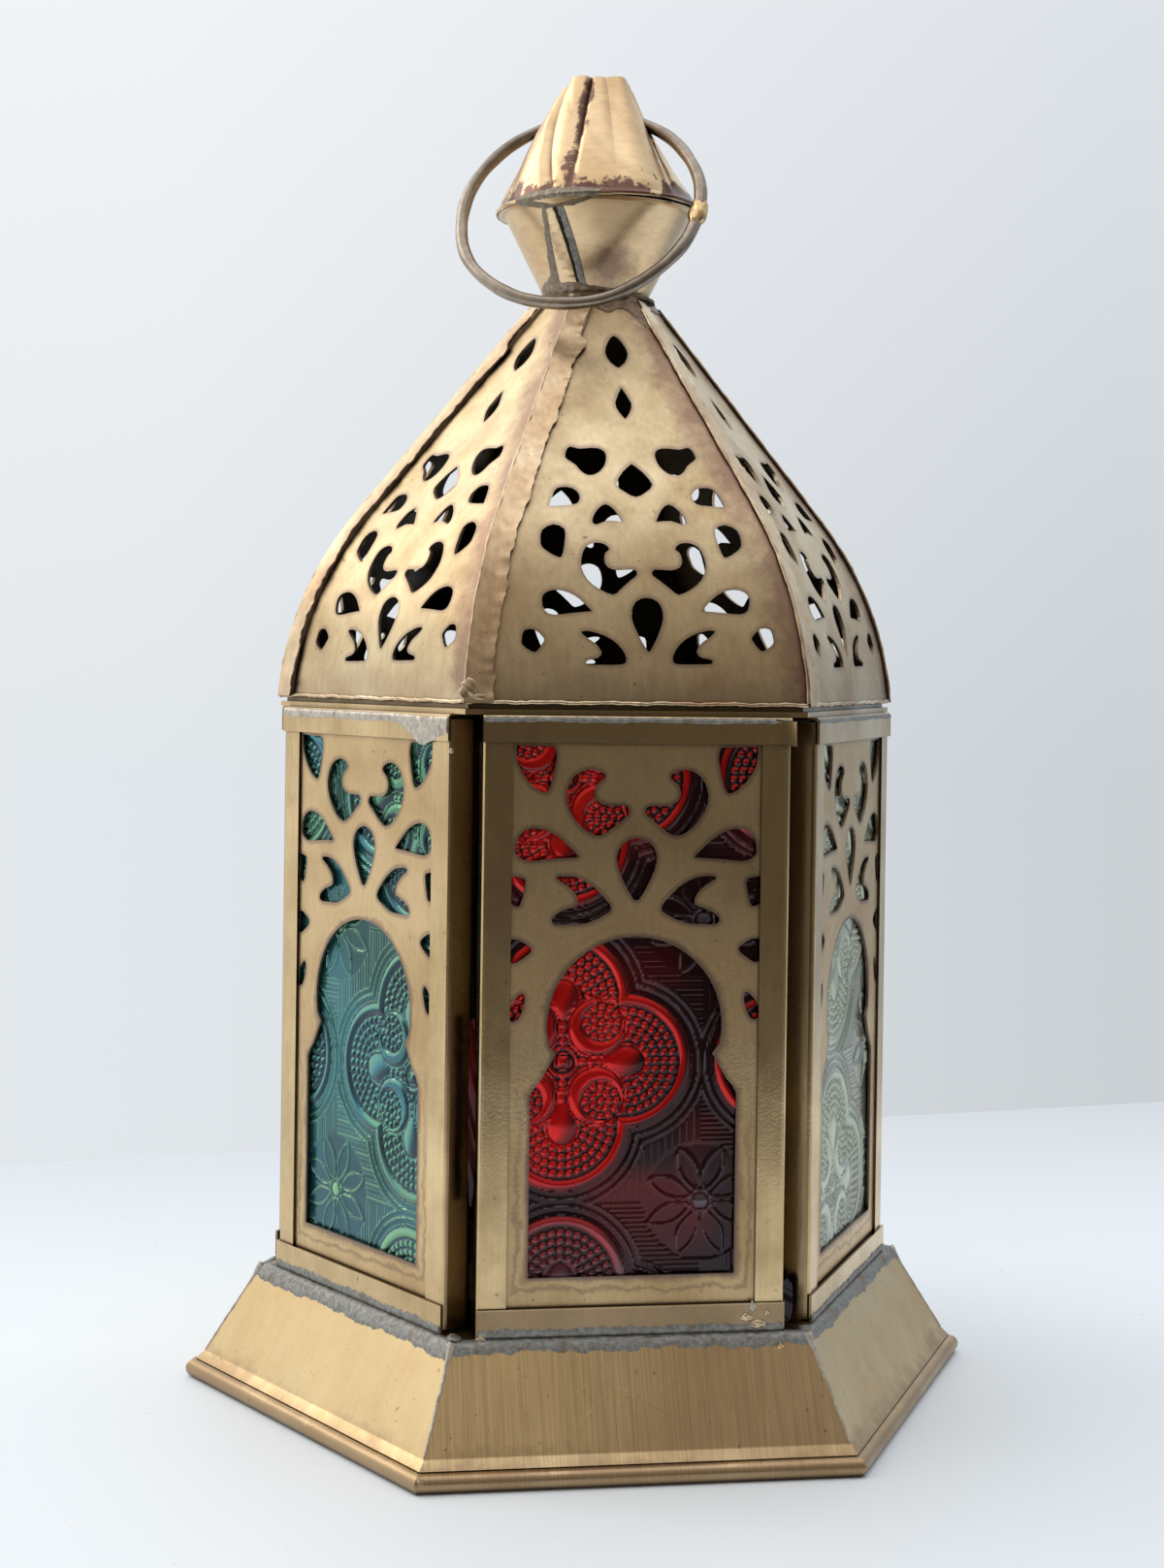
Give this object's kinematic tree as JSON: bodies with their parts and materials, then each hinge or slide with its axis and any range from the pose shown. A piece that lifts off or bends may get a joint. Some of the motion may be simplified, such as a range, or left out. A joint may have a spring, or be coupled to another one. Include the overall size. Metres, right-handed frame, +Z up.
{
  "type": "ramadan fanous lantern",
  "caption": "Hexagonal brass candle lantern: flared base, six pierced and glazed panels with one hinged as a door, a pierced domed roof and a finial with a swinging ring.",
  "frame": {"origin": "middle of the footprint, on the surface that the lantern stands on", "axes": "+Z up through the finial; the front (red) panel faces -Y and two corners of the hexagon lie on +X and -X"},
  "size_m": [0.133, 0.1152, 0.2182],
  "materials": {
    "skirt_brass": "brushed, aged, solder along the seams",
    "frame_brass": "folded sheet, aged satin",
    "pierced_brass": "pressed sheet, aged satin",
    "roof_brass": "aged satin with heat stains",
    "finial_brass": "satin with purple brown patina",
    "inner_brass": "dull, heat stained",
    "ring_wire": "drawn wire, brown tarnish",
    "glass_red": "pressed relief",
    "glass_pale_green": "pressed relief",
    "glass_teal": "pressed relief"
  },
  "bodies": {
    "lantern": {"base_front": "skirt_brass", "base_front_right": "skirt_brass", "base_back_right": "skirt_brass", "base_back": "skirt_brass", "base_back_left": "skirt_brass", "base_front_left": "skirt_brass", "front_panel_stiles": "frame_brass", "front_panel_top_rail": "frame_brass", "front_panel_bottom_rail": "frame_brass", "front_panel_fret": "pierced_brass", "front_panel_glass": "glass_red", "front_right_panel_stiles": "frame_brass", "front_right_panel_top_rail": "frame_brass", "front_right_panel_bottom_rail": "frame_brass", "front_right_panel_fret": "pierced_brass", "front_right_panel_glass": "glass_pale_green", "back_right_panel_stiles": "frame_brass", "back_right_panel_top_rail": "frame_brass", "back_right_panel_bottom_rail": "frame_brass", "back_right_panel_fret": "pierced_brass", "back_right_panel_glass": "glass_teal", "back_left_panel_stiles": "frame_brass", "back_left_panel_top_rail": "frame_brass", "back_left_panel_bottom_rail": "frame_brass", "back_left_panel_fret": "pierced_brass", "back_left_panel_glass": "glass_pale_green", "front_left_panel_stiles": "frame_brass", "front_left_panel_top_rail": "frame_brass", "front_left_panel_bottom_rail": "frame_brass", "front_left_panel_fret": "pierced_brass", "front_left_panel_glass": "glass_teal", "roof_front": "roof_brass", "roof_front_right": "roof_brass", "roof_back_right": "roof_brass", "roof_back": "roof_brass", "roof_back_left": "roof_brass", "roof_front_left": "roof_brass", "floor_plate": "inner_brass", "candle_cup": "inner_brass", "eave_ring": "frame_brass", "neck_collar": "inner_brass", "finial_cup": "finial_brass", "finial_crown": "finial_brass", "hinge_knuckles_frame": "inner_brass", "hinge_pin": "ring_wire"},
    "door": {"door_stiles": "frame_brass", "door_top_rail": "frame_brass", "door_bottom_rail": "frame_brass", "door_fret": "pierced_brass", "door_glass": "glass_red", "hinge_knuckles_door": "inner_brass", "door_pull": "inner_brass"},
    "carrying_ring": {"ring_handle": "ring_wire"}
  },
  "joints": [
    {"name": "door_hinge", "type": "hinge", "parent": "lantern", "child": "door", "pos_m": [-0.02601, 0.04505, 0.065], "axis": [0, 0, 1], "range_deg": [0, 110]},
    {"name": "ring_swing", "type": "hinge", "parent": "lantern", "child": "carrying_ring", "pos_m": [0, 0, 0.20895], "axis": [-0.9272, 0.3746, 0], "range_deg": [0, 301]}
  ]
}
